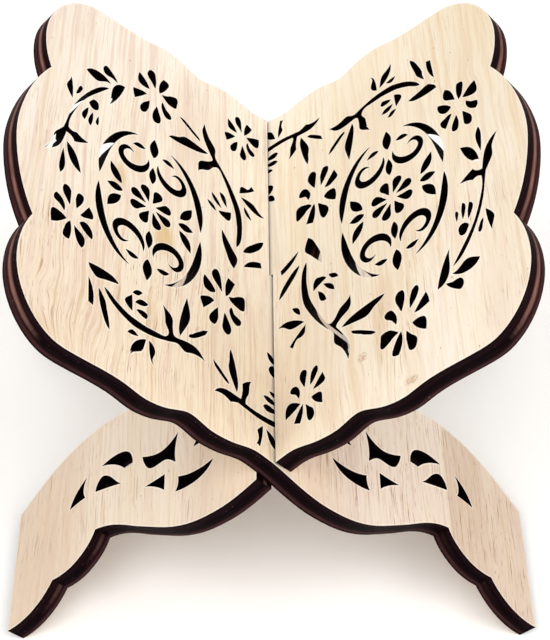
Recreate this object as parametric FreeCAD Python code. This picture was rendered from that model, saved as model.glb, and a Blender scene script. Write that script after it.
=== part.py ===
import FreeCAD, Part
import math
import os

# Quran stand with no hinge: two identical slotted plywood boards that cross in
# a halving joint.  Each board is one leaf above the crossing and a pair of feet
# with an arch below it.  Each board is five glued plies.
#
# Frame: +Z up, the crossing line runs along Y, X goes from leaf to leaf.
# Board A has its leaf at -X, board B has its leaf at +X.
# Origin: centre of the stand in X and Y, ground level in Z.  Millimetres.

# ---- driving dimensions ----------------------------------------------------
LEAF_ANGLE = 42.0        # each leaf above the horizontal, in degrees
BOARD_T = 9.0            # thickness of one board
BOARD_LEN = 200.0        # nominal length of the crossing line
LEAF_REACH = 133.5       # crossing line to the crown of the middle lobe
LEG_REACH = 155.3        # crossing line to the square-cut foot ends
ARCH_CROWN = 36.5        # crossing line to the crown of the arch between the feet
SLOT_CLEAR = 0.1         # running gap at each slot wall
SLOT_END_CLEAR = 0.15    # half of the gap between the two slot ends

# Top ply first.
PLY_NAMES = ["face_ply", "upper_cross_ply", "core_ply", "lower_cross_ply", "back_ply"]
PLY_T = BOARD_T / len(PLY_NAMES)

MID_Y = BOARD_LEN / 2.0
TILT = math.radians(LEAF_ANGLE)
CROSSING = 2.0 * TILT    # acute angle between the boards
# Slot walls, wide enough for a board of this thickness crossing at that angle.
SLOT_LEAF = BOARD_T / math.tan(CROSSING) + SLOT_CLEAR
SLOT_LEG = -(BOARD_T / math.sin(CROSSING) + SLOT_CLEAR)
SLOT_END_Y = MID_Y - SLOT_END_CLEAR      # just past the middle, so the slot ends never meet
# Where the slot walls meet the high-y edge of the board.
SLOT_LEAF_MOUTH_Y = BOARD_LEN - 0.55
SLOT_LEG_MOUTH_Y = BOARD_LEN + 2.7
# Edge points closer than this to a slot wall are left out of the edge.
MOUTH_SKIP_LEAF = 1.5
MOUTH_SKIP_LEG = 2.0
# Height of the crossing line: the foot's lower arris touches the ground.
CROSSING_Z = LEG_REACH * math.sin(TILT) + BOARD_T * math.cos(TILT)

# ---- board outline tables --------------------------------------------------
# All points are (s, y): s is measured square to the crossing line, positive on
# the leaf and negative on the leg; y runs along the crossing line.
# A curve is a list of runs.  Each run is smooth, and corners lie between runs.
# The tables give the low-y half; the other half mirrors it.

# Waved leaf edge from the crossing out round the corner, up to the lobe notch.
LEAF_EDGE = [
    (0.0, 0.3), (4.0, 1.2), (9.0, 2.0), (14.5, 1.6), (20.0, 0.6), (27.0, 0.2), (33.5, 0.9),
    (38.5, 2.6), (43.2, 3.5), (48.0, 2.4), (53.5, 0.5), (60.0, -0.6), (66.0, -0.4), (72.0, 1.1),
    (79.0, 2.2), (88.0, 2.6), (98.0, 2.8), (106.0, 4.0), (113.0, 8.0), (119.0, 14.5),
    (123.3, 22.5), (125.8, 32.0), (126.0, 41.0), (124.6, 49.5)]
LOBE_NOTCH = (121.6, 57.6)
MIDDLE_LOBE = [(126.0, 66.0), (129.8, 76.5), (132.4, 88.0)]
# Leg edge from the crossing down to the first of two scallops.
LEG_EDGE = [
    (-5.0, -1.2), (-10.0, -3.0), (-17.0, -5.2), (-25.0, -7.0), (-34.0, -7.7), (-44.0, -7.2),
    (-53.0, -5.2), (-61.0, -2.2), (-69.0, 1.6), (-77.0, 5.4), (-85.0, 9.6), (-93.0, 13.0)]
SCALLOP_A = (-102.8, 14.9)
SCALLOP_A_BELLY = [(-106.2, 9.4), (-110.9, 5.2), (-117.0, 1.9), (-122.8, 0.5)]
SCALLOP_B = (-128.3, 0.2)
SCALLOP_B_BELLY = [(-131.8, -4.2), (-137.0, -8.6), (-143.2, -11.9), (-149.6, -13.7)]
FOOT_OUTER = (-LEG_REACH, -14.2)
FOOT_INNER = (-LEG_REACH, 45.8)
# Inner edge of the foot, then the arch up towards its crown.
ARCH_EDGE = [
    (-150.0, 49.8), (-140.0, 56.9), (-130.0, 62.8), (-120.0, 67.1), (-110.0, 70.0),
    (-100.0, 71.7), (-91.0, 71.8), (-81.0, 71.6), (-70.0, 73.4), (-58.0, 77.4), (-47.5, 83.4),
    (-40.0, 91.0)]

# ---- piercing tables -------------------------------------------------------
# Each entry is one closed piercing, as a list of runs.

# Low-y leg; the other leg mirrors them.
LEG_PIERCINGS = [
    [[(-120.8, 33.0), (-116.6, 34.2), (-111.0, 35.2)],
     [(-111.0, 35.2), (-112.3, 38.4), (-112.3, 41.8), (-110.6, 46.0)],
     [(-110.6, 46.0), (-115.2, 42.4), (-118.4, 38.4), (-120.8, 33.0)]],
    [[(-101.6, 47.6), (-96.0, 45.9), (-90.6, 43.0), (-86.2, 39.2)],
     [(-86.2, 39.2), (-81.4, 39.4)],
     [(-81.4, 39.4), (-82.0, 43.6), (-84.4, 47.2), (-89.0, 49.2), (-95.4, 49.2), (-101.6, 47.6)]],
    [[(-104.4, 35.2), (-96.0, 33.8), (-88.0, 32.2)],
     [(-88.0, 32.2), (-93.2, 37.0), (-97.6, 40.8), (-100.6, 41.6), (-103.2, 39.4),
      (-104.4, 35.2)]],
    [[(-75.4, 40.0), (-73.8, 35.6), (-71.6, 32.4)],
     [(-71.6, 32.4), (-66.4, 31.2), (-60.8, 31.6), (-57.2, 29.6), (-54.6, 27.2)],
     [(-54.6, 27.2), (-55.4, 33.0), (-55.0, 37.8), (-53.8, 43.0)],
     [(-53.8, 43.0), (-58.6, 39.2), (-63.6, 37.4), (-69.4, 37.9), (-75.4, 40.0)]],
    [[(-73.0, 23.4), (-67.0, 23.7), (-61.0, 24.3)], [(-61.0, 24.3), (-61.0, 16.2)],
     [(-61.0, 16.2), (-66.6, 20.4), (-73.0, 23.4)]],
    [[(-54.4, 12.3), (-52.9, 15.8), (-53.0, 19.3)],
     [(-53.0, 19.3), (-46.6, 17.7), (-39.8, 17.6), (-32.8, 19.0)],
     [(-32.8, 19.0), (-36.8, 14.6), (-43.0, 12.2), (-54.4, 12.3)]],
    [[(-44.6, 30.6), (-38.6, 31.4), (-33.0, 34.8), (-28.6, 40.4)],
     [(-28.6, 40.4), (-35.0, 38.6), (-40.6, 35.4), (-44.6, 30.6)]],
]

# Leaf: four eight-petalled flowers and the vines between them.
# LOW and HIGH are the low-y and high-y ends; INNER is near the crossing.
FLOWER_HIGH_OUTER = [
    [[(64.2, 168.7), (62.4, 167.1), (60.5, 165.8), (58.2, 165.5), (56.1, 166.2), (55.7, 168.5),
      (55.3, 170.8), (56, 172.9), (58.2, 172.5), (60.3, 171.3), (62.2, 170), (64.2, 168.7)]],
    [[(63.8, 179.7), (65.4, 176.4), (66.1, 172.8), (65.7, 169.1)],
     [(65.7, 169.1), (63.4, 171.8), (61.7, 174.9), (60.7, 178.2), (63.8, 179.7)]],
    [[(68.1, 170.7), (67.8, 173.2), (67.9, 175.6), (68.3, 178), (69, 180.3), (71.1, 180.7),
      (72.5, 178.7), (72.8, 176.3), (71.5, 174.3), (69.8, 172.5), (68.1, 170.7)]],
    [[(71.2, 168), (73.6, 171.8), (77.3, 174.5)],
     [(77.3, 174.5), (77.8, 171.3), (77.2, 168.2), (74.3, 167.1), (71.2, 168)]],
    [[(72.5, 163.6), (75.1, 163.8), (77.6, 163.1), (80, 162.3)],
     [(80, 162.3), (79.7, 159.4), (78.8, 156.6)], [(78.8, 156.6), (75.5, 160), (72.5, 163.6)]],
    [[(71.1, 160.2), (72.7, 158.5), (74.1, 156.8), (75.2, 154.8), (75.7, 152.7), (74.8, 150.8),
      (72.8, 151.6), (71.7, 153.5), (71, 155.7), (70.8, 157.9), (71.1, 160.2)]],
    [[(66.9, 159.4), (67.9, 156.9), (68.6, 154.4), (68.8, 151.7), (67.8, 149.3), (65.4, 149.6),
      (64.2, 152), (64.6, 154.6), (65.6, 157.1), (66.9, 159.4)]],
    [[(63.9, 164.2), (64.2, 161.1), (63.2, 158.2), (61.1, 156.1), (58.5, 157.4), (59.5, 160),
      (61.9, 161.8), (63.9, 164.2)]],
]

FLOWER_HIGH_INNER = [
    [[(6.6, 181.8), (10.7, 180), (14.5, 177.6)], [(14.5, 177.6), (8.1, 175.2), (6.6, 181.8)]],
    [[(10.9, 185.7), (14, 187.1)], [(14, 187.1), (15.5, 182.7), (15.7, 178.1)],
     [(15.7, 178.1), (12.9, 181.7), (10.9, 185.7)]],
    [[(17.1, 179.3), (17.4, 181.6), (17.5, 184), (17.8, 186.3), (19.1, 188.1), (20.9, 187),
      (21.3, 184.7), (20.5, 182.5), (18.8, 180.9), (17.1, 179.3)]],
    [[(20.1, 177.1), (22.4, 180.5), (25.8, 182.6)],
     [(25.8, 182.6), (25.7, 179.9), (25.2, 177.2), (22.7, 176.5), (20.1, 177.1)]],
    [[(21.1, 173.8), (23.4, 173.7), (25.7, 173.2), (27.4, 172.1), (27.1, 169.8), (26.3, 167.7)],
     [(26.3, 167.7), (23.6, 170.6), (21.1, 173.8)]],
    [[(20.2, 170.7), (21.9, 169), (23.2, 167), (24.1, 164.8), (23.3, 162.8), (21.3, 163.8),
      (20.3, 165.9), (19.9, 168.3), (20.2, 170.7)]],
    [[(17, 170.2), (17.5, 167.7), (18, 165.2), (18.1, 162.7), (16.1, 161.5), (14.6, 163.2),
      (14.6, 165.7), (15.6, 168.1), (17, 170.2)]],
    [[(13.9, 174.3), (14.4, 172), (13.9, 169.8), (12.6, 168), (10.5, 167.6), (9.3, 169.4),
      (10.7, 171), (12.5, 172.4), (13.9, 174.3)]],
]

FLOWER_LOW_OUTER = [
    [[(96.8, 77.5), (100.5, 70.8)],
     [(100.5, 70.8), (98.5, 70.6), (96.6, 71.4), (94.7, 72.2), (94.5, 74.2), (95.4, 76),
      (96.8, 77.5)]],
    [[(102.3, 73.3), (101.2, 75.2), (100.2, 77.1), (99.6, 79.3), (100, 81.4), (102, 81.7),
      (103, 79.8), (103.3, 77.6), (103, 75.4), (102.3, 73.3)]],
    [[(105.6, 73.4), (105.6, 76.1), (105.6, 78.8), (106.2, 81.5), (108.6, 82.5), (109.7, 80.1),
      (109.1, 77.5), (107.5, 75.3), (105.6, 73.4)]],
    [[(108, 68.3), (107.9, 71.4), (109.5, 74.2), (112.2, 75.8)],
     [(112.2, 75.8), (113.3, 73.9), (113, 71.9), (111.1, 71), (109.4, 69.8), (108, 68.3)]],
    [[(106.5, 65.1), (109.7, 66.8), (113.3, 66.7), (113.9, 63.3), (113.3, 59.7)],
     [(113.3, 59.7), (110.7, 61), (108.5, 62.9), (106.5, 65.1)]],
    [[(104.5, 55.4), (103.9, 60.3), (104.7, 65.1)],
     [(104.7, 65.1), (106.5, 62.5), (107.3, 59.4), (107.5, 56.3), (104.5, 55.4)]],
    [[(98.5, 54.6), (97.3, 57.4), (97.8, 60.4), (100.2, 62.3), (102.8, 63.9)],
     [(102.8, 63.9), (102.4, 61.2), (101.7, 58.7), (100.5, 56.3), (98.5, 54.6)]],
    [[(94.2, 61.6), (94.4, 65.6), (97, 68.3), (100.6, 66.7)],
     [(100.6, 66.7), (97.9, 63.6), (94.2, 61.6)]],
]

FLOWER_LOW_INNER = [
    [[(24, 72.9), (22.3, 71.2), (20, 70.3), (17.7, 69.7), (15.6, 70.5), (15.2, 72.9),
      (15.1, 75.3), (15.8, 77.5), (18, 77), (20.1, 75.7), (22, 74.3), (24, 72.9)]],
    [[(20.7, 82.5), (24.5, 83.9)], [(24.5, 83.9), (25.7, 80.3), (26.1, 76.6), (25.7, 72.9)],
     [(25.7, 72.9), (23.5, 75.8), (22.1, 79.1), (20.7, 82.5)]],
    [[(27.8, 74.6), (28, 77.4), (28.4, 80.2), (29.1, 82.9), (30.8, 84.9), (32.9, 83.3),
      (33.4, 80.6), (32.1, 78.2), (30.1, 76.3), (27.8, 74.6)]],
    [[(37.6, 77.8), (38, 75.7), (37.9, 73.4), (37.2, 71.4), (35.2, 70.5), (33, 70.8),
      (31.4, 72.2), (32.3, 74.1), (33.8, 75.7), (35.6, 77.1), (37.6, 77.8)]],
    [[(31.9, 67), (34.6, 67.6), (37.1, 66.6), (39.2, 65), (38.6, 62.3), (37.6, 59.8)],
     [(37.6, 59.8), (34.6, 63.3), (31.9, 67)]],
    [[(30.2, 64.1), (31.8, 62), (33.2, 59.8), (34.3, 57.5), (34, 55.1), (31.8, 54.4),
      (30.3, 56.5), (29.6, 59), (29.7, 61.5), (30.2, 64.1)]],
    [[(26.4, 63.2), (26.8, 60.8), (27.1, 58.3), (27.4, 55.9), (26.6, 53.7), (24.5, 52.8),
      (22.9, 54.6), (22.6, 57), (23.5, 59.2), (24.7, 61.4), (26.4, 63.2)]],
    [[(22.8, 68.3), (23.7, 66), (23.1, 63.6), (21.8, 61.5), (19.7, 60.3), (17.8, 61.4),
      (17.3, 63.7), (19.4, 65), (21.4, 66.3), (22.8, 68.3)]],
]

VINE_LOW = [
    [[(35.8, 32.4), (37.6, 34.3), (39.4, 36.1), (41.8, 37.1), (44.3, 37.3), (46.9, 37.1),
      (49.5, 36.6), (51.9, 36.9), (52.7, 39.3), (52.9, 41.9), (53, 44.5), (54.4, 46.6),
      (56.5, 48.1), (58.6, 49.6)],
     [(58.6, 49.6), (57.3, 46.6), (56.8, 43.3), (56.2, 40.1), (54.7, 37.2), (55.8, 34.5),
      (59, 33.7), (62.3, 33.7), (65.6, 33.6), (68.8, 34), (72.1, 34.5), (75.3, 35.4),
      (78.2, 36.8), (81.1, 38.4), (83.7, 40.4), (86.6, 41.8)],
     [(86.6, 41.8), (84.8, 38.6), (82.1, 36), (79, 33.8), (75.6, 32.1), (72.1, 30.8),
      (68.3, 30.4), (64.5, 30.5), (60.8, 30.9), (57.1, 31.8), (53.5, 32.9), (49.8, 33.7),
      (46.5, 31.9), (43.1, 32.8), (39.5, 33.2), (35.8, 32.4)]],
    [[(34.9, 48.7), (36.3, 48.2), (37.6, 47.5), (38.7, 46.5), (39.8, 45.6), (41, 44.6),
      (42, 43.6), (43.1, 42.6), (44.3, 41.7), (44.5, 40.3)],
     [(44.5, 40.3), (43, 40.6), (41.5, 41.4), (40.2, 42.4), (38.9, 43.5), (37.7, 44.6),
      (36.5, 45.7), (35.6, 47.2), (34.9, 48.7)]],
    [[(46.2, 60), (47.4, 55.6), (48.6, 50.6), (49.6, 44.6), (49.7, 41.2), (49, 38.4)],
     [(49, 38.4), (46.8, 43), (45.1, 46.9), (44.3, 50.2), (44.9, 55), (46.2, 60)]],
    [[(79.8, 47), (82.9, 49.2), (86.8, 49.9), (90.7, 50), (94.6, 49.6)],
     [(94.6, 49.6), (93.9, 47.5), (92.4, 45.9), (90.7, 44.6), (88.5, 44.8), (86.4, 45.5),
      (84.2, 46), (82, 46.5), (79.8, 47)]],
    [[(82.7, 22.6), (82.8, 24.3), (83.1, 26), (83.5, 27.7), (83.9, 29.4), (84.4, 31),
      (84.8, 32.7), (85.2, 34.4), (85.9, 35.9), (86.9, 37.3), (87.9, 38.8), (89.1, 39.9)],
     [(89.1, 39.9), (88.7, 36.2), (87.9, 32.5), (86.6, 28.9), (85.1, 25.4), (82.7, 22.6)]],
    [[(91, 29.9), (91.4, 36.6), (94.1, 42.8)], [(94.1, 42.8), (93.2, 30.6)],
     [(93.2, 30.6), (91, 29.9)]],
    [[(69, 27), (70.4, 28), (72.1, 28.6), (73.5, 27.7), (74.4, 26.2)],
     [(74.4, 26.2), (71.6, 26.2), (69, 27)]],
    [[(65.4, 27.4), (69.4, 24.9), (72, 20.9), (72.4, 16.2)],
     [(72.4, 16.2), (70.1, 18.9), (67.3, 20.8), (66.1, 24), (65.4, 27.4)]],
    [[(64, 27.6), (63.8, 24.3), (63.3, 21), (62.4, 18.3), (60.7, 16.8)],
     [(60.7, 16.8), (61.6, 20.6), (60.8, 23), (61.2, 25.2), (64, 27.6)]],
    [[(66.1, 37.2), (65.6, 39.9), (68.2, 40.5), (70.9, 39.2)],
     [(70.9, 39.2), (68.6, 37.9), (66.1, 37.2)]],
    [[(73.3, 45.7), (75.3, 43.6), (76.6, 41.2), (75, 38.9), (72.7, 37.6)],
     [(72.7, 37.6), (72.9, 41.6), (73.3, 45.7)]],
    [[(65.4, 45.2), (69.2, 45.5), (71.7, 42.6)],
     [(71.7, 42.6), (69.3, 42.6), (66.9, 43.3), (65.4, 45.2)]],
    [[(68.3, 49.1), (70.3, 49.6), (72, 48.6), (73.2, 46.9)],
     [(73.2, 46.9), (71.7, 46.6), (70.3, 46.9), (69.3, 48), (68.3, 49.1)]],
]

# Low-y vine that reaches over the crossing line.
VINE_CROSSING = [
    [[(30.9, 20.6), (27.8, 23.6), (24.9, 24.4), (21, 24.1), (17.2, 23.6)],
     [(17.2, 23.6), (16.4, 27.6), (16.4, 31.6)], [(16.4, 31.6), (14, 33.8), (11.6, 35.1)],
     [(11.6, 35.1), (12.7, 32), (13, 28.4), (14.4, 25.2), (14.6, 22.4)],
     [(14.6, 22.4), (9.8, 21.4), (4, 21.1), (-2, 21.3), (-7, 22.4)],
     [(-7, 22.4), (-3, 18.9), (3, 18.3), (8.6, 18.7), (14.2, 19.9), (18.6, 20.9)],
     [(18.6, 20.9), (20.4, 20.4), (22.6, 19.4)], [(22.6, 19.4), (25, 20.7), (30.9, 20.6)]],
    [[(22.8, 46), (23.4, 43), (23.4, 40), (23.8, 37), (23.3, 34), (22.1, 31.2), (20.8, 28.5),
      (19.4, 25.8)],
     [(19.4, 25.8), (18.7, 29.9), (19.2, 34), (20.1, 38.2), (21.2, 42.2), (22.8, 46)]],
    [[(23.3, 27.9), (24.3, 29.6), (25.8, 31), (27.3, 32.3), (28.8, 33.7), (30.4, 34.9),
      (32, 36.1)],
     [(32, 36.1), (31.6, 34.7), (31.1, 33.4), (30.2, 32.3), (29.1, 31.4), (28.1, 30.5),
      (27, 29.6), (25.8, 28.7), (24.6, 28), (23.3, 27.9)]],
    [[(7.2, 5), (6.3, 8.7), (5.7, 12.4), (5.6, 16.1)],
     [(5.6, 16.1), (7.2, 14.4), (8.4, 12.6), (7.9, 10.4), (8, 8.2), (9, 6.1)],
     [(9, 6.1), (8, 5.8), (7.2, 5)]],
    [[(3.8, 15.3), (3, 12.4), (1.8, 9.7), (-2.6, 7.2)], [(-2.6, 7.2), (-1.5, 11.2), (3.8, 15.3)]],
    [[(5.3, 26.2), (3.6, 24.7), (0.6, 24.7), (-3.2, 26)],
     [(-3.2, 26), (0.2, 27.4), (3.4, 27.9), (5.3, 26.2)]],
    [[(5.1, 31.6), (3.1, 29.7), (0.4, 29.2), (-3, 30)],
     [(-3, 30), (0.2, 31.7), (2.6, 32.3), (5.1, 31.6)]],
    [[(1.9, 35.4), (0.6, 33.7), (-1.4, 33), (-4, 33.2)], [(-4, 33.2), (-1.6, 35.3), (1.9, 35.4)]],
    [[(-0.6, 49.6), (1.4, 48.4), (2.1, 46.4), (1, 44.6), (-1.6, 43.4)],
     [(-1.6, 43.4), (-1.9, 46.6), (-0.6, 49.6)]],
    [[(2.8, 55.6), (2.6, 53.6), (1.6, 51.7), (-2.2, 50.9)],
     [(-2.2, 50.9), (-0.7, 53.8), (2.8, 55.6)]],
]

VINE_INNER = [
    [[(39.5, 168.6), (40.2, 166), (40.7, 163.3), (40.3, 160.7), (39.5, 158.1), (38.3, 155.6),
      (36.9, 153.3), (35.5, 150.9), (34.4, 148.6), (36.1, 146.5), (38.4, 145), (40.8, 143.7),
      (42.3, 141.5), (42.4, 138.8), (42.5, 136.1)],
     [(42.5, 136.1), (39.9, 138.7), (36.5, 140.7), (34.2, 143.9), (31.2, 145.5), (28.6, 142.5),
      (26.7, 139), (25, 135.4), (23.4, 131.7), (21.9, 128), (20.8, 124.2), (20.2, 120.3),
      (19.8, 116.3), (19.8, 112.3), (20.1, 108.4), (20, 104.5)],
     [(20, 104.5), (17.8, 108.5), (17, 113.2), (16.8, 117.9), (17.1, 122.7), (18, 127.4),
      (19.8, 131.8), (22, 136), (24.4, 140.1), (27.2, 144), (30.2, 147.7), (32.9, 151.6),
      (33, 156.3), (35.7, 159.9), (38.1, 164), (39.5, 168.6)]],
    [[(41.8, 155.4), (42.4, 156.9), (43.7, 157.9), (45.1, 158.8), (46.5, 159.6), (47.8, 160.6),
      (49.2, 161.4), (50.7, 162.3), (52.2, 162.8), (53.7, 162.8)],
     [(53.7, 162.8), (52.6, 161.5), (51.1, 160.5), (49.6, 159.5), (48.1, 158.6), (46.6, 157.6),
      (45, 156.8), (43.5, 156), (41.8, 155.4)]],
    [[(37, 150.8), (40.4, 151.4), (43.9, 151.8), (47.4, 152.2), (50.8, 151.8), (53.6, 149.6),
      (56.8, 148.1), (59.4, 145.9)],
     [(59.4, 145.9), (54.7, 145.8), (50.1, 146.4), (45.5, 147.2), (41, 148.5), (37, 150.8)]],
    [[(9.6, 145.7), (11.3, 147.4)],
     [(11.3, 147.4), (12.3, 145.5), (13.7, 143.9), (15.9, 143.8), (17.7, 142.8), (18.3, 140.6),
      (18.5, 138.4)],
     [(18.5, 138.4), (13.8, 141.8), (9.6, 145.7)]],
    [[(3.6, 132.6), (7.2, 134), (10.1, 136.5), (13.9, 137), (17.8, 136.6)],
     [(17.8, 136.6), (14.7, 134.1), (11.2, 132.3), (7.4, 131.4), (3.6, 132.6)]],
    [[(11.4, 125.8), (13.1, 129.1), (15.7, 131.7)], [(15.7, 131.7), (14.9, 127.7), (11.4, 125.8)]],
    [[(4.3, 117), (7.5, 114.9), (10.9, 111.5), (14, 108.2), (16.2, 103.9)],
     [(16.2, 103.9), (12.2, 105.7), (9.4, 108.2), (6.5, 111.5), (4.3, 117)]],
    [[(5.5, 100.9), (6, 103.7)], [(6, 103.7), (12, 100.7), (16, 95.4)],
     [(16, 95.4), (5.5, 100.9)]],
    [[(28.3, 109.8), (28.3, 105.7), (27.4, 101.7), (25.8, 97.9), (24.1, 94.1), (21.4, 91.1)],
     [(21.4, 91.1), (20, 94.5), (19.6, 98.1), (21.7, 101), (23.9, 103.9), (26.1, 106.9),
      (28.3, 109.8)]],
    [[(23.3, 123.1), (26.8, 121.3), (30.5, 119.8)],
     [(30.5, 119.8), (29.1, 118.2), (27.1, 117.4), (24.9, 117.1), (23.6, 118.8), (23.3, 120.9),
      (23.3, 123.1)]],
    [[(31.8, 118.6), (33.6, 121.6), (36.9, 122.5)], [(36.9, 122.5), (35, 119.8), (31.8, 118.6)]],
    [[(28.8, 122.2), (31, 125.9), (34.4, 128.6)],
     [(34.4, 128.6), (33.8, 125.6), (31.6, 123.4), (28.8, 122.2)]],
    [[(25.7, 124.5), (26.1, 127.6), (27.1, 130.5), (30, 131.4)],
     [(30, 131.4), (28.6, 127.5), (25.7, 124.5)]],
]

VINE_OUTER = [
    [[(92.2, 151.8), (95, 150.5), (99.4, 146.1), (103.7, 139.6), (107.4, 132.2), (110.1, 124.2),
      (111.6, 116.8), (112.5, 112.9)],
     [(112.5, 112.9), (114.6, 109.7), (116.4, 106.4), (116.7, 102.2), (118.2, 98.5), (120, 95.4)],
     [(120, 95.4), (116.4, 97.8), (113.8, 101), (112.3, 104.8), (111, 111)],
     [(111, 111), (108.8, 110.5), (106.7, 108.2)], [(106.7, 108.2), (103, 110.1), (100, 112.2)],
     [(100, 112.2), (103.2, 112.7), (106.1, 114.1)],
     [(106.1, 114.1), (108.2, 113.5), (110.2, 114.4)],
     [(110.2, 114.4), (110.1, 118.6), (108.5, 124.7), (105, 133.7), (102.3, 138.5),
      (98.2, 144.1), (95.2, 147.9), (92.2, 151.8)]],
    [[(84.2, 158.9), (87.8, 157.6), (90.4, 153.4), (91, 148.2), (91.6, 142)],
     [(91.6, 142), (88.2, 147.6), (85.9, 153), (84.2, 158.9)]],
    [[(91.5, 155), (94.6, 157.2), (98.2, 157.9), (102, 157), (104.6, 154.3)],
     [(104.6, 154.3), (101.6, 152.6), (98.6, 151.9), (95.8, 153.5), (91.5, 155)]],
    [[(88.3, 158.7), (89.5, 160.6), (91, 162.2), (92.7, 163.6), (94.6, 164.6), (96, 163.1),
      (96.1, 160.9), (94.9, 159.2), (92.7, 159), (90.5, 159), (88.3, 158.7)]],
    [[(106.2, 142.5), (107.3, 141.2), (107.7, 139.6), (108.2, 137.9), (108.4, 136.2)],
     [(108.4, 136.2), (107.2, 137.1), (106.4, 138.4), (105.8, 139.8), (105.4, 141.3),
      (106.2, 142.5)]],
    [[(111.6, 145), (112.3, 141.4), (113.3, 138.2), (111.9, 134.8), (109.9, 132.2)],
     [(109.9, 132.2), (110.2, 138.4), (111.6, 145)]],
    [[(98.3, 133.4), (96.9, 134.6), (96.7, 136.8), (97.4, 138.8), (99.3, 139.2), (100.7, 137.6),
      (101.6, 135.6), (100.5, 133.9), (98.3, 133.4)]],
    [[(96.4, 131), (97, 129.5), (97.4, 128), (97.5, 126.4), (96.4, 125.3)],
     [(96.4, 125.3), (96, 127.1), (96.1, 129), (96.4, 131)]],
    [[(99.8, 122.7), (99, 127), (99.3, 131.3)],
     [(99.3, 131.3), (100.3, 129.2), (101, 126.9), (101.2, 124.5), (99.8, 122.7)]],
    [[(101.7, 132.7), (103.1, 130.6), (104.2, 128.4), (104.6, 126.1), (103, 124.3)],
     [(103, 124.3), (101.9, 128.4), (101.7, 132.7)]],
    [[(110.2, 105.8), (109.6, 101.6), (107.9, 97.3), (102.2, 93)],
     [(102.2, 93), (103.5, 97.6), (105.4, 101.6), (110.2, 105.8)]],
    [[(111.5, 101.3), (112.1, 97.8), (112.5, 94.2), (112.6, 90.6), (111.8, 87.1)],
     [(111.8, 87.1), (110, 91.6), (110.4, 96.5), (111.5, 101.3)]],
]

LEAF_PIERCINGS = (FLOWER_HIGH_OUTER + FLOWER_HIGH_INNER + FLOWER_LOW_OUTER + FLOWER_LOW_INNER
                  + VINE_LOW + VINE_CROSSING + VINE_INNER + VINE_OUTER)

# Middle medallion: a rosette with leaves and scrolls, mirrored in s and in y.
# Offsets (p, q) are along s and y from MEDALLION_CENTRE.
MEDALLION_CENTRE = (66.8, 97.5)
PETAL_COUNT = 8
PETAL_START_R, PETAL_END_R, PETAL_WIDTH = 3.0, 11.2, 4.6
# Strokes: (p, q, width) along the middle line, pointed where the width is 0.
STROKES = [
    [(8.6, 37.6, 0.0), (15.4, 33.6, 2.2), (21.4, 25.8, 3.3), (25.4, 14.8, 3.7), (26.6, 2.4, 0.0)],
    [(2.6, 26.6, 0.0), (3.8, 20.9, 2.5), (8.3, 17.2, 3.7), (14.2, 17.4, 3.5), (17.0, 21.9, 2.7),
     (14.4, 26.2, 2.1), (9.8, 24.8, 0.0)],
]
# Small leaves: p and q of one tip, p and q of the other, width, bow of the middle line.
SMALL_LEAVES = [
    (0.0, 29.2, 0.0, 40.6, 4.6, 0.0),
    (15.3, 3.4, 21.6, 12.6, 4.2, -0.6),
    (4.6, 31.6, 11.2, 30.4, 2.6, 0.6),
]
P_AXIS_LEAF = (14.6, 0.0, 22.6, 0.0, 4.0, 0.0)
Q_AXIS_LEAF = (0.0, 13.6, 0.0, 23.4, 3.6, 0.0)
# Profiles from tip to tip: (fraction of length, fraction of half width).
LEAF_PROFILE = [(0.0, 0.0), (0.28, 0.86), (0.52, 1.0), (0.78, 0.62), (1.0, 0.0)]
PETAL_PROFILE = [(0.0, 0.0), (0.3, 0.52), (0.58, 0.92), (0.8, 1.0), (0.95, 0.62), (1.0, 0.0)]


# ---- curves ----------------------------------------------------------------
def vec(point):
    """Turn (s, y) into the flat board's plane, with the leaf towards -X."""
    return FreeCAD.Vector(-point[0], point[1], 0.0)


def run_edge(run):
    """Two points give a line, equal end points a closed smooth curve."""
    points = [vec(p) for p in run]
    if len(run) == 2:
        return Part.LineSegment(*points).toShape()
    curve = Part.BSplineCurve()
    if run[0] == run[-1]:
        curve.interpolate(Points=points[:-1], PeriodicFlag=True)
    else:
        curve.interpolate(Points=points)
    return curve.toShape()


def loop(runs):
    return Part.Wire([run_edge(run) for run in runs])


def mirror(run):
    """Mirror a run about the middle of the board, in reversed order."""
    return [(s, BOARD_LEN - y) for s, y in reversed(run)]


# ---- medallion -------------------------------------------------------------
def unit_normal(dx, dy):
    length = math.hypot(dx, dy)
    return -dy / length, dx / length


def small_leaf(x0, y0, x1, y1, width, bow):
    dx, dy = x1 - x0, y1 - y0
    nx, ny = unit_normal(dx, dy)
    sides = []
    for side in (1.0, -1.0):
        points = []
        for t, w in LEAF_PROFILE:
            offset = side * 0.5 * width * w + bow * 4.0 * t * (1.0 - t)
            points.append((x0 + dx * t + nx * offset, y0 + dy * t + ny * offset))
        sides.append(points)
    return [sides[0], sides[1][::-1]]


def petal(angle):
    ux, uy = math.cos(angle), math.sin(angle)
    points = []
    for t, w in PETAL_PROFILE + [(t, -w) for t, w in PETAL_PROFILE[-2::-1]]:
        r = PETAL_START_R + (PETAL_END_R - PETAL_START_R) * t
        offset = 0.5 * PETAL_WIDTH * w
        points.append((ux * r - uy * offset, uy * r + ux * offset))
    return [points]


def stroke(line):
    left, right = [], []
    for i, (x, y, width) in enumerate(line):
        before = line[max(i - 1, 0)]
        after = line[min(i + 1, len(line) - 1)]
        nx, ny = unit_normal(after[0] - before[0], after[1] - before[1])
        left.append((x + nx * width / 2.0, y + ny * width / 2.0))
        right.append((x - nx * width / 2.0, y - ny * width / 2.0))
    return [left, right[::-1]]


def on_board(runs, p_sign=1.0, q_sign=1.0):
    cs, cy = MEDALLION_CENTRE
    return [[(cs + p_sign * p, cy + q_sign * q) for p, q in run] for run in runs]


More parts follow.
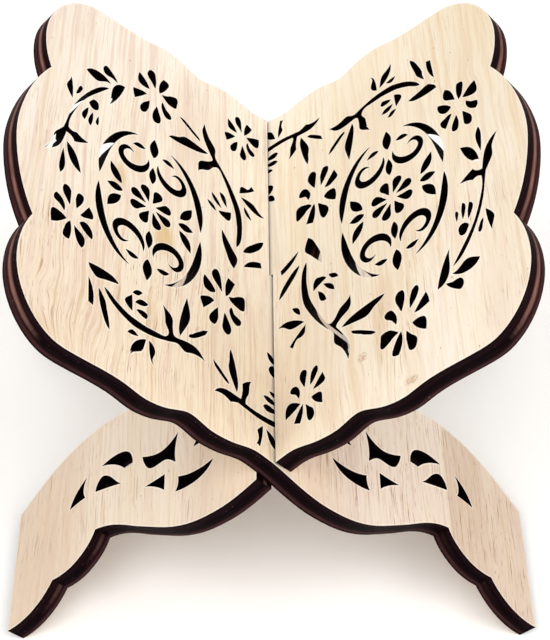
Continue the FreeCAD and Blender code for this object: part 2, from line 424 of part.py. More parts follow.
def medallion():
    cuts = []
    for p_sign in (1.0, -1.0):
        for q_sign in (1.0, -1.0):
            cuts += [on_board(stroke(line), p_sign, q_sign) for line in STROKES]
            for leaf in SMALL_LEAVES:
                # A leaf on the q axis is its own mirror image in p.
                on_axis = leaf[0] == 0.0 and leaf[2] == 0.0
                if p_sign > 0 or not on_axis:
                    cuts.append(on_board(small_leaf(*leaf), p_sign, q_sign))
        cuts.append(on_board(small_leaf(*P_AXIS_LEAF), p_sign=p_sign))
        cuts.append(on_board(small_leaf(*Q_AXIS_LEAF), q_sign=p_sign))
    for k in range(PETAL_COUNT):
        cuts.append(on_board(petal(2.0 * math.pi * (k + 0.5) / PETAL_COUNT)))
    return cuts


# ---- one board -------------------------------------------------------------
def piercings():
    cuts = LEAF_PIERCINGS + medallion()
    for cut in LEG_PIERCINGS:
        cuts.append(cut)
        cuts.append([mirror(run) for run in reversed(cut)])
    return cuts


def outline():
    """Closed board outline, from the low-y scallop round by the leaf."""
    scallop_a = [SCALLOP_A] + SCALLOP_A_BELLY + [SCALLOP_B]
    scallop_b = [SCALLOP_B] + SCALLOP_B_BELLY + [FOOT_OUTER]
    foot_end = [FOOT_OUTER, FOOT_INNER]
    half_lobe = [LOBE_NOTCH] + MIDDLE_LOBE
    half_arch = [FOOT_INNER] + ARCH_EDGE

    leaf_edge = LEAF_EDGE + [LOBE_NOTCH]
    leg_edge = LEG_EDGE + [SCALLOP_A]
    # The slot opens through the high-y edge.
    leaf_mouth = (SLOT_LEAF, SLOT_LEAF_MOUTH_Y)
    leg_mouth = (SLOT_LEG, SLOT_LEG_MOUTH_Y)
    leaf_end = (SLOT_LEAF, SLOT_END_Y)
    leg_end = (SLOT_LEG, SLOT_END_Y)
    high_leaf = mirror([p for p in leaf_edge if p[0] > SLOT_LEAF + MOUTH_SKIP_LEAF])
    high_leg = mirror([p for p in leg_edge if p[0] < SLOT_LEG - MOUTH_SKIP_LEG])[::-1]

    return loop([
        leg_edge[::-1] + leaf_edge,      # one smooth edge past the crossing
        half_lobe + [(LEAF_REACH, MID_Y)] + mirror(half_lobe),
        high_leaf + [leaf_mouth],
        [leaf_mouth, leaf_end],
        [leaf_end, leg_end],
        [leg_end, leg_mouth],
        [leg_mouth] + high_leg,
        mirror(scallop_a)[::-1],
        mirror(scallop_b)[::-1],
        mirror(foot_end)[::-1],
        (half_arch + [(-ARCH_CROWN, MID_Y)] + mirror(half_arch))[::-1],
        foot_end[::-1],
        scallop_b[::-1],
        scallop_a[::-1],
    ])


def board_face():
    wires = [outline()] + [loop(cut) for cut in piercings()]
    return Part.makeFace(wires, "Part::FaceMakerBullseye")


def split_at_slot(solid):
    """Cut the leaf off at the slot's leaf wall and fuse it back on."""
    size = 400.0     # larger than the board
    corner = FreeCAD.Vector(-SLOT_LEAF - size, -size, -size)
    leaf_side = Part.makeBox(size, 2 * size, 2 * size, corner)
    return solid.common(leaf_side).fuse(solid.cut(leaf_side))


def ply(face, index):
    bottom = face.copy()
    bottom.translate(FreeCAD.Vector(0, 0, -(index + 1) * PLY_T))
    shape = bottom.extrude(FreeCAD.Vector(0, 0, PLY_T))
    if index == 0:
        # The top of the leaf is a face of its own, ending at the crossing.
        shape = split_at_slot(shape)
    return shape.Solids[0] if len(shape.Solids) == 1 else shape


# ---- placing and export ----------------------------------------------------
def place_a(shape):
    placed = shape.copy()
    placed.rotate(FreeCAD.Vector(0, 0, 0), FreeCAD.Vector(0, 1, 0), LEAF_ANGLE)
    placed.translate(FreeCAD.Vector(0, -MID_Y, CROSSING_Z))
    return placed


def place_b(shape):
    """Board B is board A turned half round about Z."""
    placed = place_a(shape)
    placed.rotate(FreeCAD.Vector(0, 0, 0), FreeCAD.Vector(0, 0, 1), 180.0)
    return placed


os.makedirs("parts", exist_ok=True)
face = board_face()
for i, ply_name in enumerate(PLY_NAMES):
    solid = ply(face, i)
    for board, place in (("board_a", place_a), ("board_b", place_b)):
        place(solid).exportStep(os.path.join("parts", "%s_%s.step" % (board, ply_name)))
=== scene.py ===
"""Two plywood boards that cross like an X and stand on a pale paper floor.

Metres, +Z up. The crossing line runs along Y. The leaf of board_a rises toward -X and that of
board_b toward +X. The camera stands on the -Y side, the near side, and looks down into the leaves.

The wood is laid out in millimetres on each board: `leaf` is up the leaf from the crossing
(negative down the leg), `along` is along the crossing line (100 at y = 0, growing away from the
camera on board_a and toward it on board_b), `out` is 0 on the upper face and falls to -THICKNESS.
"""

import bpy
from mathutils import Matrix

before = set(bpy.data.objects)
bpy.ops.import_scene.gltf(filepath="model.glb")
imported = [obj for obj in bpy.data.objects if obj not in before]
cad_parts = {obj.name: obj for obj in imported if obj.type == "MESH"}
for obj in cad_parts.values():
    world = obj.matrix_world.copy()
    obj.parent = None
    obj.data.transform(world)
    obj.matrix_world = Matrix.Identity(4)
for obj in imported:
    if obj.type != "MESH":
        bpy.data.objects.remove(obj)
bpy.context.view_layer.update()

import math
from collections import namedtuple
from functools import reduce
from types import SimpleNamespace

import bpy
from mathutils import Matrix, Vector

LEAF_ANGLE = math.radians(42.0)  # of each board above the floor
COS, SIN = math.cos(LEAF_ANGLE), math.sin(LEAF_ANGLE)
THICKNESS = 9.0                  # of a board, mm
LEG_LENGTH = 0.1553              # down the slope from the crossing to the foot
CROSS_Z = LEG_LENGTH * SIN + THICKNESS / 1000.0 * COS


# ---- colours -----------------------------------------------------------------
def srgb(*rgb):
    """8-bit sRGB as a linear colour."""
    def linear(c):
        c /= 255.0
        return c / 12.92 if c <= 0.04045 else ((c + 0.055) / 1.055) ** 2.4
    return (*map(linear, rgb), 1.0)


def wood(*rgb, albedo=0.80):
    """A veneer tone as it looks under the soft light, as an albedo."""
    return (*(c * albedo for c in srgb(*rgb)[:3]), 1.0)


Tones = namedtuple("Tones", "light mid tan rose deep haze")


def wood_tones(*rows):
    return Tones(*(wood(*row) for row in rows))


KNOT_HEART = wood(222, 182, 140)
SANDED_RIM = wood(255, 250, 240, albedo=0.90)
RIM_SCORCH = srgb(120, 78, 52)
WORN_CHAR = srgb(92, 64, 56)
FOOT_END_TINT = (0.93, 0.90, 0.87, 1.0)

# ---- the two boards: directions, and what is particular to the wood of each ----
BOARDS = {
    "board_a": SimpleNamespace(
        # Unit vectors up the leaf, along the crossing line and out of the upper face.
        leaf=(-COS, 0.0, SIN), along=(0.0, 1.0, 0.0), normal=(SIN, 0.0, COS),
        shift=(0.0, 0.0),  # moves the noise, so that the boards differ
        # Small tan knots: leaf, along, radius, how much shorter along the grain.
        knots=[(-92.0, 118.0, 2.2, 0.62)],
        # Curly grain: leaf, along, radius, sway in mm.
        curls=[(106.0, 10.0, 44.0, 10.0), (60.0, 30.0, 40.0, 4.0)],
        # Faint haze left by the beam: leaf, along, reach up the leaf, reach along, strength.
        hazes=[(84.4, 104.3, 5.0, 9.0, 0.75), (58.8, 85.0, 6.0, 10.0, 0.85),
               (75.6, 122.5, 3.5, 8.0, 0.45), (112.0, 7.0, 8.0, 7.0, 0.4)],
        # Where two strips of veneer meet, and how much yellower the lower one is.
        strip=(118.0, 0.25),
        # Tanner strip in the foot: full below, gone above, tint, share left at the foot's end.
        foot_strip=(-105.0, -104.0, (0.87, 0.82, 0.76, 1.0), 0.35),
        # Tan toward the near end: `along` from and to, the fade's start and end. Then its amount.
        near_fade=(148.0, 40.0, 0.0, 1.0), near_tan=0.50,
        # Open pores, busier toward the near end: `along` from and to, share at each.
        pore_fade=(70.0, 135.0, 1.0, 0.38),
        hair=0.85, veil=0.90,  # strength of the dark hairlines and of the rose streaks
        # Slow drift of red, green and blue, partly the veneer's own tone and partly painted light
        # that lifts the shade near the crossing: constant, up the leaf, along, both together.
        tone_and_light_drift=((0.015, -0.06, 0.05, -0.04), (0.045, -0.07, 0.055, -0.04),
               (0.06, -0.05, 0.085, -0.04)),
        # The neck tint darkens the leg just below the crossing: painted shade of the board above,
        # with a slightly warmer veneer. The leg tint is the legs' greyer veneer with painted shade
        # of the leaves above them.
        neck_tone_and_shade=(0.920, 0.905, 0.910, 1.0), leg_tone_and_shade=(0.905, 0.935, 1.00, 1.0),
        # Shift of the light stripe in the charred edge, toward the upper face where
        # positive, and how much of it shows on the feet.
        char_shift=0.025, foot_stripe=0.06,
        face_tones=wood_tones((255, 243, 226), (252, 236, 214), (237, 210, 180),
                              (242, 217, 199), (180, 138, 106), (230, 194, 142)),
        back_tones=wood_tones((246, 226, 200), (240, 216, 186), (220, 188, 152),
                              (234, 204, 180), (168, 126, 92), (222, 190, 150)),
    ),
    "board_b": SimpleNamespace(
        leaf=(COS, 0.0, SIN), along=(0.0, -1.0, 0.0), normal=(-SIN, 0.0, COS),
        shift=(431.0, 217.0),
        knots=[(46.5, 171.5, 2.6, 1.05), (68.5, 194.5, 3.3, 1.50), (-60.0, 12.0, 1.8, 0.62)],
        curls=[(62.0, 186.0, 30.0, 7.0), (104.0, 60.0, 40.0, 5.0)],
        hazes=[(55.5, 158.0, 5.0, 26.0, 0.55), (61.0, 150.0, 4.0, 16.0, 0.45),
               (30.0, 186.0, 8.0, 18.0, 0.35)],
        strip=(72.0, 0.38),
        foot_strip=(-122.0, -100.0, (0.945, 0.91, 0.90, 1.0), 1.0),
        near_fade=(220.0, 80.0, 1.0, 0.0), near_tan=0.10,
        pore_fade=(70.0, 140.0, 0.38, 1.0),
        hair=0.52, veil=0.60,
        # Slow drift as on board_a: veneer tone and painted light that lifts the shade near the
        # crossing.
        tone_and_light_drift=((0.02, -0.08, -0.04, 0.09), (0.045, -0.10, -0.03, 0.14),
               (0.07, -0.12, 0.01, 0.22)),
        # Neck tint: painted shade of the board above, with a slightly warmer veneer. Leg tint:
        # greyer veneer with painted shade of the leaves above.
        neck_tone_and_shade=(0.895, 0.875, 0.885, 1.0), leg_tone_and_shade=(0.90, 0.905, 0.955, 1.0),
        char_shift=-0.045, foot_stripe=0.40,
        face_tones=wood_tones((255, 242, 222), (252, 235, 207), (240, 214, 178),
                              (245, 222, 197), (180, 138, 102), (230, 198, 162)),
        back_tones=wood_tones((246, 226, 197), (240, 216, 183), (221, 188, 149),
                              (235, 204, 176), (166, 124, 90), (222, 190, 148)),
    ),
}

# Noise fields: scale per mm up the leaf, per mm along, slice of the noise, detail, roughness.
FIELDS = {
    "wander": (0.020, 0.0065, 3.0, 2.0, 0.5),       # slow wander of the grain
    "fine": (0.09, 0.03, 9.0, 2.0, 0.5),            # small wander
    "curl": (0.040, 0.034, 41.0, 1.5, 0.5),         # sway of the curly grain
    "fleck": (0.62, 0.34, 37.0, 1.0, 0.5),          # dark flecks
    "blush": (0.024, 0.009, 23.0, 2.0, 0.5),        # broad changes of tone
    "patch": (0.030, 0.022, 29.0, 2.0, 0.5),        # where the pores are open
    "ripple": (0.060, 0.060, 2.0, 3.0, 0.5),        # waviness of the plies in the edge
    "stripe_patch": (0.022, 0.022, 7.0, 2.0, 0.6),  # where the light edge stripe shows
}
# The same for the fields that follow the bent grain.
STRANDS = {
    "bands": (0.15, 0.0045, 0.0, 3.0, 0.55),        # broad growth bands, 4 to 10 mm
    "veil": (0.34, 0.0130, 47.0, 2.0, 0.55),        # greyish pink streaks, 2 to 5 mm
    "lines": (0.55, 0.0100, 5.0, 4.0, 0.6),         # annual lines, 1 to 2 mm
    "fibre": (3.2, 0.060, 11.0, 3.0, 0.6),          # fibres
    "hair": (1.35, 0.036, 17.0, 2.5, 0.6),          # dark hairlines
    "pores": (1.9, 0.140, 27.0, 2.0, 0.5),          # short vessels
}

# Charred edge through the thickness: depth as a share of it, then sRGB.
CHAR_WITH_GRAIN = [
    (0.00, 14, 4, 7), (0.06, 24, 9, 11), (0.20, 26, 9, 11), (0.33, 22, 7, 10),
    (0.375, 48, 25, 25), (0.43, 106, 72, 65), (0.53, 134, 97, 88), (0.60, 116, 80, 72),
    (0.655, 60, 33, 31), (0.73, 34, 14, 15), (0.80, 58, 33, 32), (0.90, 57, 32, 31),
    (0.965, 24, 9, 12), (1.0, 10, 3, 5),
]
CHAR_END_GRAIN = [
    (0.00, 10, 3, 5), (0.07, 22, 9, 11), (0.20, 28, 12, 16), (0.32, 13, 4, 8),
    (0.47, 9, 3, 5), (0.62, 15, 5, 8), (0.73, 30, 13, 15), (0.81, 62, 38, 39),
    (0.90, 58, 35, 36), (0.965, 18, 6, 9), (1.0, 8, 2, 4),
]


# ---- node trees ----------------------------------------------------------------
class Tree:
    """A material and short names for the nodes it is made of."""

    def __init__(self, name):
        self.material = bpy.data.materials.new(name)
        self.material.use_nodes = True
        self.node_tree = self.material.node_tree
        self.node_tree.nodes.clear()
        self.next_x = 0

    def node(self, kind, inputs=None, **props):
        node = self.node_tree.nodes.new(kind)
        node.location = (self.next_x, 0)
        self.next_x += 40
        for key, value in props.items():
            setattr(node, key, value)
        for key, value in (inputs or {}).items():
            if isinstance(value, bpy.types.NodeSocket):
                self.node_tree.links.new(value, node.inputs[key])
            else:
                node.inputs[key].default_value = value
        return node

    def math(self, operation, *values, **props):
        inputs = dict(enumerate(values))
        return self.node("ShaderNodeMath", inputs, operation=operation, **props).outputs[0]

    def add(self, a, b):
        return self.math("ADD", a, b)

    def sub(self, a, b):
        return self.math("SUBTRACT", a, b)

    def mul(self, a, b):
        return self.math("MULTIPLY", a, b)

    def mul_add(self, a, b, c):
        return self.math("MULTIPLY_ADD", a, b, c)

    def highest(self, *values):
        return reduce(lambda a, b: self.math("MAXIMUM", a, b), values)

    def squares(self, a, b):
        return self.add(self.mul(a, a), self.mul(b, b))

    def dot(self, a, b):
        node = self.node("ShaderNodeVectorMath", {0: a, 1: b}, operation="DOT_PRODUCT")
        return node.outputs["Value"]

    def xyz(self, x, y, z):
        return self.node("ShaderNodeCombineXYZ", {0: x, 1: y, 2: z}).outputs[0]

    def noise(self, point, detail, rough=0.5, scale=1.0):
        inputs = {"Vector": point, "Scale": scale, "Detail": detail, "Roughness": rough}
        return self.node("ShaderNodeTexNoise", inputs).outputs[0]

    def ramp(self, value, stops):
        node = self.node("ShaderNodeValToRGB", {0: value})
        elements = node.color_ramp.elements
        while len(elements) > 1:
            elements.remove(elements[-1])
        elements[0].position, elements[0].color = stops[0]
        for position, colour in stops[1:]:
            elements.new(position).color = colour
        return node.outputs[0]

    def ease(self, value, low, high, start, end):
        """Smooth step from start, where value is low, to end, where it is high."""
        inputs = dict(enumerate((value, low, high, start, end)))
        node = self.node("ShaderNodeMapRange", inputs, interpolation_type="SMOOTHSTEP")
        return node.outputs[0]

    def rise(self, value, low, high, amount=1.0):
        return self.ease(value, low, high, 0.0, amount)

    def fall(self, value, low, high, amount=1.0):
        return self.ease(value, low, high, amount, 0.0)

    def mix(self, amount, a, b, blend="MIX"):
        inputs = {0: amount, 6: a, 7: b}
        return self.node("ShaderNodeMix", inputs, data_type="RGBA", blend_type=blend).outputs[2]

    def tint(self, amount, colour, tint):
        return self.mix(amount, colour, tint, "MULTIPLY")

    def bevel(self, radius):
        return self.node("ShaderNodeBevel", {"Radius": radius}, samples=4).outputs[0]

    def surface(self, **inputs):
        """Principled shader to the output; underscores stand for spaces in input names."""
        named = {key.replace("_", " "): value for key, value in inputs.items()}
        shader = self.node("ShaderNodeBsdfPrincipled", named)
        self.node("ShaderNodeOutputMaterial", {"Surface": shader.outputs[0]})


class BoardTree(Tree):
    """A tree with a board's own coordinates in millimetres."""

    def __init__(self, name, board):
        super().__init__(name)
        self.board = board
        place = self.node("ShaderNodeTexCoord").outputs["Object"]
        inputs = {0: place, 1: (0.0, 0.0, CROSS_Z)}
        place = self.node("ShaderNodeVectorMath", inputs, operation="SUBTRACT").outputs[0]
        leaf, along, out = (self.dot(place, tuple(1000.0 * c for c in axis))
                            for axis in (board.leaf, board.along, board.normal))
        self.leaf, self.along, self.out = leaf, self.add(along, 100.0), out

    def field(self, leaf_scale, along_scale, slice_z, detail, rough, leaf=None):
        """Noise moved by the board's shift, on the bent grain where leaf is given."""
        leaf_shift, along_shift = self.board.shift
        x = self.mul_add(self.leaf if leaf is None else leaf, leaf_scale, leaf_shift)
        y = self.mul_add(self.along, along_scale, along_shift)
        return self.noise(self.xyz(x, y, slice_z), detail, rough)

    def plain_noise(self, scale, slice_z, detail, rough=0.5):
        point = self.xyz(self.mul(self.leaf, scale), self.mul(self.along, scale), slice_z)
        return self.noise(point, detail, rough)

    def offset(self, leaf, along):
        return self.sub(self.leaf, leaf), self.sub(self.along, along)

    def near_faces(self, shallow, deep):
        """1 within shallow mm of either face of the board, 0 below deep mm."""
        upper = self.rise(self.out, -deep, -shallow)
        lower = self.fall(self.out, shallow - THICKNESS, deep - THICKNESS)
        return self.highest(upper, lower)


# ---- wood of the faces ---------------------------------------------------------
def grain_marks(tree):
    """Every mask and noise the wood is drawn from. The grain wanders, curls and bows at knots."""
    marks = SimpleNamespace(**{
        name: tree.field(*FIELDS[name])
        for name in ("wander", "fine", "curl", "fleck", "blush", "patch")})
    bent = tree.mul_add(marks.wander, 14.0, tree.leaf)
    bent = tree.mul_add(marks.fine, 2.2, bent)
    swing = tree.sub(marks.curl, 0.5)
    curls = []
    for leaf, along, radius, sway in tree.board.curls:
        distance = tree.math("SQRT", tree.squares(*tree.offset(leaf, along)))
        curls.append(tree.fall(distance, 0.0, radius))
        bent = tree.mul_add(tree.mul(curls[-1], swing), sway * 2.0, bent)
    cores, rings = [], []
    for leaf, along, radius, squat in tree.board.knots:
        across, lengthwise = tree.offset(leaf, along)
        squared = tree.squares(across, tree.mul(lengthwise, squat))
        # The grain is pulled aside by the knot, less and less with distance.
        pull = tree.math("DIVIDE", -radius * radius * 1.2, tree.add(squared, radius * radius))
        bent = tree.add(bent, tree.mul(across, pull))
        jag = tree.plain_noise(scale=0.8, slice_z=3.0, detail=3.0, rough=0.7)
        ragged = tree.sub(tree.math("SQRT", squared), radius * 0.65)
        ragged = tree.mul_add(jag, radius * 1.3, ragged)
        cores.append(tree.fall(ragged, radius * 0.10, radius * 0.55))
        rings.append(tree.mul(tree.fall(ragged, radius * 0.5, radius * 1.25),
                              tree.rise(jag, 0.42, 0.58)))
    marks.curly = tree.highest(*curls)
    marks.knot_core, marks.knot_ring = tree.highest(*cores), tree.highest(*rings)
    for name, settings in STRANDS.items():
        setattr(marks, name, tree.field(*settings, leaf=bent))
    marks.leg = tree.fall(tree.leaf, -46.0, -14.0)
    marks.strip_edge = tree.mul_add(marks.fine, 0.5, tree.leaf)
    near = tree.mul_add(marks.blush, 40.0, tree.along)
    marks.near = tree.ease(near, *tree.board.near_fade)
    return marks


def sheet_colour(tree, marks, tones):
    """Growth bands, the blush over them, the veneer strip and the tan near end."""
    light, mid, tan, rose = tones[:4]
    colour = tree.ramp(marks.bands, [(0.28, tan), (0.38, mid), (0.49, light), (0.58, light),
                                     (0.68, mid), (0.80, rose)])
    colour = tree.mix(tree.rise(marks.blush, 0.44, 0.62, amount=0.75), colour, mid)
    colour = tree.mix(tree.rise(marks.blush, 0.55, 0.70, amount=0.80), colour, rose)
    joint, yellow = tree.board.strip
    below = tree.fall(marks.strip_edge, joint - 0.1, joint + 0.5)
    colour = tree.mix(tree.mul(below, yellow), colour, mid)
    return tree.mix(tree.mul(marks.near, tree.board.near_tan), colour, tan)


def add_grain(tree, marks, tones, colour):
    """Streaks, annual lines and fibres; late wood is browner where the wood is tanner."""
    tan_amount = tree.board.near_tan
    late = tree.mix(tree.mul(marks.near, tan_amount * 0.55), tones.tan, tones.deep)
    veil = tree.rise(marks.veil, 0.51, 0.61, tree.board.veil)
    colour = tree.mix(veil, colour, tones.rose)
    # The legs are cut from the greyer, quieter end of the sheet.
    strong = tree.mul_add(marks.near, tan_amount * 0.70, 0.60)
    strong = tree.mul(strong, tree.mul_add(marks.leg, -0.40, 1.0))
    colour = tree.mix(tree.mul(strong, tree.rise(marks.lines, 0.51, 0.66)), colour, late)
    colour = tree.mix(tree.fall(marks.lines, 0.26, 0.44, amount=0.75), colour, tones.rose)
    fibre = tree.rise(marks.fibre, 0.50, 0.70, amount=0.95)
    colour = tree.mix(tree.mul(strong, fibre), colour, late)
    return tree.mix(tree.fall(marks.fibre, 0.26, 0.42, amount=0.45), colour, tones.light)


def add_haze(tree, marks, tones, colour):
    for leaf, along, leaf_reach, along_reach, strength in tree.board.hazes:
        across, lengthwise = tree.offset(leaf, along)
        squared = tree.squares(tree.mul(across, 1.0 / leaf_reach),
                               tree.mul(lengthwise, 1.0 / along_reach))
        ragged = tree.add(tree.math("SQRT", squared), tree.mul_add(marks.fine, 1.1, -0.55))
        colour = tree.mix(tree.fall(ragged, 0.25, 1.05, strength), colour, tones.haze)
    return colour


def add_pores_and_knots(tree, marks, tones, colour):
    hair_strength, deep = tree.board.hair, tones.deep
    busy = tree.highest(tree.ease(marks.patch, 0.44, 0.60, start=0.22, end=1.0), marks.curly)
    busy = tree.mul(busy, tree.ease(tree.along, *tree.board.pore_fade))
    leg_busy = tree.mul(marks.leg, tree.ease(marks.patch, 0.40, 0.58, start=0.35, end=1.25))
    busy = tree.highest(busy, leg_busy)
    hair = tree.rise(marks.hair, 0.585, 0.67, hair_strength)
    colour = tree.mix(tree.mul(busy, hair), colour, deep)
    pores = tree.rise(marks.pores, 0.63, 0.71, hair_strength * 0.9)
    colour = tree.mix(tree.mul(busy, pores), colour, deep)
    colour = tree.mix(tree.rise(marks.fleck, 0.765, 0.80, amount=0.80), colour, deep)
    colour = tree.mix(tree.mul(marks.knot_ring, 0.75), colour, deep)
    return tree.mix(tree.mul(marks.knot_core, 0.60), colour, KNOT_HEART)


def tint_regions(tree, marks, colour):
    """Slow drift of tone and painted light over the leaf, then the leg's greyer tone and painted
    shade, its neck at the crossing darkened by painted shade of the board above, and the foot.
    """
    board, leaf = tree.board, tree.leaf
    # Both run about -1 to 1; the first is held between 0 and 155 mm up the leaf.
    up = tree.math("MINIMUM", tree.highest(leaf, 0.0), 155.0)
    up = tree.mul_add(up, 1.0 / 70.0, -1.0)
    sideways = tree.mul_add(tree.along, 0.01, -1.0)
    both = tree.mul(up, sideways)
    # Painted light and veneer tone drifting slowly over the leaf; it lifts the shade near the
    # crossing.
    tone_and_light_drift = []
    for constant, by_leaf, by_along, by_both in board.tone_and_light_drift:
        channel = tree.mul_add(up, by_leaf, 1.0 + constant)
        channel = tree.mul_add(sideways, by_along, channel)
        tone_and_light_drift.append(tree.mul_add(both, by_both, channel))
    colour = tree.tint(tree.rise(leaf, -24.0, 0.0), colour, tree.xyz(*tone_and_light_drift))
    # Greyer veneer on the legs, darkened by painted shade of the leaves above.
    colour = tree.tint(marks.leg, colour, board.leg_tone_and_shade)
    # Painted shade of the board above on the neck just below the crossing, with a slightly warmer
    # veneer.
    neck_tone_and_shade_mask = tree.mul(tree.rise(leaf, -58.0, -36.0), tree.fall(leaf, -6.0, 12.0))
    colour = tree.tint(neck_tone_and_shade_mask, colour, board.neck_tone_and_shade)
    colour = tree.tint(tree.fall(leaf, -150.0, -85.0), colour, FOOT_END_TINT)
    full, gone, tint, end_share = board.foot_strip
    foot = tree.mul(tree.fall(marks.strip_edge, full, gone),
                    tree.ease(leaf, -134.0, -122.0, end_share, 1.0))
    return tree.tint(foot, colour, tint)


def wood_surface(tree, tones):
    """Pale veneer with its grain along the crossing line: colour, height, roughness."""
    marks = grain_marks(tree)
    colour = sheet_colour(tree, marks, tones)
    for layer in (add_grain, add_haze, add_pores_and_knots):
        colour = layer(tree, marks, tones, colour)
    colour = tint_regions(tree, marks, colour)
    height = tree.add(tree.mul(marks.lines, 0.45), tree.mul(marks.fibre, 0.35))
    height = tree.sub(height, tree.mul(tree.rise(marks.pores, 0.62, 0.72), 0.7))
    height = tree.sub(height, tree.mul(tree.rise(marks.hair, 0.60, 0.70), 0.5))
    height = tree.sub(height, tree.mul(marks.knot_core, 0.5))
    return colour, height, tree.mul_add(marks.fibre, 0.22, 0.48)


# ---- charred edge of the plies ---------------------------------------------------
def char_surface(tree, side, piercing_shade):
    """Laser-charred edge and its glue layers: colour, height, roughness.

    side is 1 where the cut runs with the grain and 0 on end grain; the last argument is 1 deep in
    a piercing, where the walls get painted shade.
    """
    board, out = tree.board, tree.out
    depth = tree.mul(out, -1.0 / THICKNESS)
    ripple = tree.field(*FIELDS["ripple"])
    depth = tree.add(depth, tree.mul_add(ripple, 0.09, board.char_shift - 0.045))
    with_grain, end_grain = (
        tree.ramp(depth, [(position, srgb(*rgb)) for position, *rgb in stops])
        for stops in (CHAR_WITH_GRAIN, CHAR_END_GRAIN))
    patch = tree.field(*FIELDS["stripe_patch"])
    show = tree.mul(side, tree.ease(patch, 0.30, 0.56, start=0.55, end=1.0))
    show = tree.mul(show, tree.ease(tree.leaf, -60.0, -20.0, board.foot_stripe, 1.0))
    colour = tree.mix(show, end_grain, with_grain)
    streak = tree.field(leaf_scale=0.12, along_scale=0.12, slice_z=tree.mul(out, 2.6),
                        detail=3.0, rough=0.6)
    colour = tree.mix(tree.rise(streak, 0.44, 0.64, amount=0.45), colour, srgb(18, 7, 10))
    colour = tree.mix(tree.fall(streak, 0.30, 0.42, amount=0.16), colour, srgb(74, 48, 48))
    ash = tree.plain_noise(scale=0.9, slice_z=tree.mul(out, 0.9), detail=1.0)
    colour = tree.mix(tree.rise(ash, 0.77, 0.80, amount=0.34), colour, srgb(150, 120, 112))
    # Painted shade: deep in the piercings the charred walls are painted near black.
    colour = tree.mix(tree.mul(piercing_shade, 0.95), colour, srgb(5, 2, 3))
    kerf = tree.plain_noise(scale=1.7, slice_z=tree.mul(out, 0.10), detail=2.0)
    height = tree.add(tree.mul(kerf, 0.7), tree.mul(streak, 0.5))
    return colour, height, tree.mul_add(streak, 0.30, 0.40)


def ply_material(name, board, tones):
    tree = BoardTree(name, board)
    face, face_height, face_rough = wood_surface(tree, tones)
    # Face or edge, by the surface's own direction in the board's frame.
    geometry = tree.node("ShaderNodeNewGeometry").outputs
    normal = tree.node("ShaderNodeVectorTransform", {0: geometry["True Normal"]},
                       vector_type="NORMAL", convert_from="WORLD",
                       convert_to="OBJECT").outputs[0]
    is_face = tree.rise(tree.math("ABSOLUTE", tree.dot(normal, board.normal)), 0.55, 0.85)
    side = tree.rise(tree.math("ABSOLUTE", tree.dot(normal, board.leaf)), 0.45, 0.90)
    # Painted shade mask from the occlusion: 1 deep in narrow piercings, 0 on open edges.
    occlusion = tree.node("ShaderNodeAmbientOcclusion", {"Distance": 0.012}, samples=5)
    piercing_shade = tree.fall(occlusion.outputs["AO"], 0.40, 0.72)
    char, char_height, char_rough = char_surface(tree, side, piercing_shade)
    # Rim of the cuts: sanded pale just inside the arris, a hair of scorch on it.
    facing = tree.dot(tree.bevel(radius=0.0011), geometry["Normal"])
    rim = tree.math("SUBTRACT", 1.0, facing, use_clamp=True)
    face = tree.mix(tree.rise(rim, 0.003, 0.045, amount=0.92), face, SANDED_RIM)
    face = tree.mix(tree.rise(rim, 0.235, 0.295, amount=0.40), face, RIM_SCORCH)
    # On the glued faces between two plies the burn reaches a little way in from the cut.
    glued = tree.sub(1.0, tree.near_faces(shallow=0.4, deep=0.9))
    face = tree.mix(tree.mul(glued, tree.rise(rim, 0.0005, 0.010)), face, char)
    # The char is a little worn along the board's outer arrises.
    skin = tree.near_faces(shallow=0.5, deep=1.1) if False else tree.highest(
        tree.rise(tree.out, -1.1, -0.5),
        tree.fall(tree.out, 0.6 - THICKNESS, 1.1 - THICKNESS))
    worn = tree.mul(skin, tree.rise(rim, 0.16, 0.29, amount=0.16))
    char = tree.mix(worn, char, WORN_CHAR)
    bump = tree.node("ShaderNodeBump", {
        "Strength": 0.35, "Distance": 0.00025,
        "Height": tree.mix(is_face, char_height, face_height),
        "Normal": tree.bevel(radius=0.0003)})
    # The painted shade mask also takes the specular away in the piercings.
    gloss = tree.mul_add(piercing_shade, -0.010, 0.012)
    tree.surface(Base_Color=tree.mix(is_face, char, face),
                 Roughness=tree.mix(is_face, char_rough, face_rough),
                 Normal=bump.outputs[0],
                 Specular_IOR_Level=tree.add(gloss, tree.mul(is_face, 0.22)))
    return tree.material


for board_name, board in BOARDS.items():
    for ply in ("face_ply", "upper_cross_ply", "core_ply", "lower_cross_ply", "back_ply"):
        tones = board.back_tones if ply == "back_ply" else board.face_tones
        piece = "%s_%s" % (board_name, ply)
        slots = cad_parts[piece].data.materials
        material = ply_material(piece + "_wood", board, tones)
        slots.clear()
        slots.append(material)


# ---- floor, light and camera -----------------------------------------------------
def link_new(name, data):
    made = bpy.data.objects.new(name, data)
    bpy.context.scene.collection.objects.link(made)
    return made


def build_floor(half=20.0):
    mesh = bpy.data.meshes.new("floor")
    corners = [(-half, -half, 0), (half, -half, 0), (half, half, 0), (-half, half, 0)]
    mesh.from_pydata(corners, [], [(0, 1, 2, 3)])
    floor = link_new("floor", mesh)
    tree = Tree("floor_paper")
    place = tree.node("ShaderNodeTexCoord").outputs["Object"]
    paper = tree.ramp(tree.noise(place, detail=2.0, scale=3.0),
                      [(0.3, (0.90, 0.90, 0.90, 1)), (0.7, (0.93, 0.93, 0.925, 1))])
    tree.surface(Base_Color=paper, Roughness=0.9, Specular_IOR_Level=0.1)
    mesh.materials.append(tree.material)


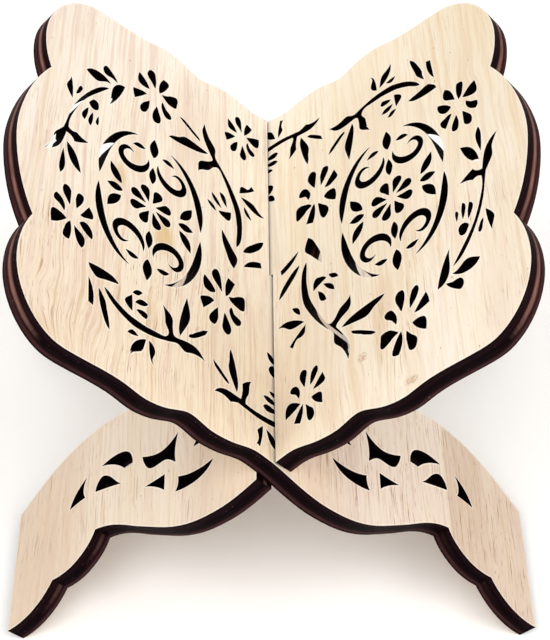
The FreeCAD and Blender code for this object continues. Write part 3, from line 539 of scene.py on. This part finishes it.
def build_world():
    world = bpy.data.worlds.new("studio")
    bpy.context.scene.world = world
    world.use_nodes = True
    background = world.node_tree.nodes["Background"]
    background.inputs["Color"].default_value = (1.0, 0.995, 0.985, 1.0)
    background.inputs["Strength"].default_value = 0.74


# Disk lights: name, place, the point they face, diameter, watts, colour.
LIGHTS = [
    ("key", (-0.5, -0.7, 1.6), (0, 0, 0.1), 1.2, 11.5, (1.0, 0.985, 0.965)),
    ("fill", (0.8, -0.5, 1.4), (0, 0, 0.1), 1.2, 8.5, (1.0, 0.99, 0.975)),
    ("side_left", (-1.3, -0.45, 0.42), (0, 0, 0.05), 0.9, 4.5, (1.0, 0.99, 0.98)),
    ("side_right", (1.3, -0.45, 0.42), (0, 0, 0.05), 0.9, 4.5, (1.0, 0.99, 0.98)),
]


def build_lights():
    for name, place, target, size, power, colour in LIGHTS:
        light = bpy.data.lights.new(name, "AREA")
        light.shape = "DISK"
        light.size = size
        light.energy = power
        light.color = colour
        lamp = link_new(name, light)
        lamp.location = place
        lamp.rotation_mode = "QUATERNION"
        lamp.rotation_quaternion = (Vector(target) - Vector(place)).to_track_quat("-Z", "Y")


def build_camera():
    """In front of the near feet, looking down into the open leaves."""
    down, yaw, roll = (math.radians(angle) for angle in (49.25, 1.27, 0.75))
    look = Vector((math.sin(yaw) * math.cos(down), math.cos(yaw) * math.cos(down),
                   -math.sin(down)))
    level = look.cross(Vector((0, 0, 1))).normalized()
    upright = level.cross(look)
    right = level * math.cos(roll) + upright * math.sin(roll)
    up = upright * math.cos(roll) - level * math.sin(roll)
    pose = Matrix((right, up, -look)).transposed().to_4x4()
    pose.translation = Vector((-0.0079, -0.4454, 0.4876 + CROSS_Z))
    data = bpy.data.cameras.new("camera")
    data.sensor_fit = "AUTO"
    data.sensor_width = 36.0
    data.lens = 85.48875
    data.clip_start, data.clip_end = 0.01, 50.0
    camera = link_new("camera", data)
    camera.matrix_world = pose
    bpy.context.scene.camera = camera


build_floor()
build_world()
build_lights()
build_camera()
bpy.context.scene.view_settings.view_transform = "Standard"
bpy.context.scene.view_settings.look = "None"
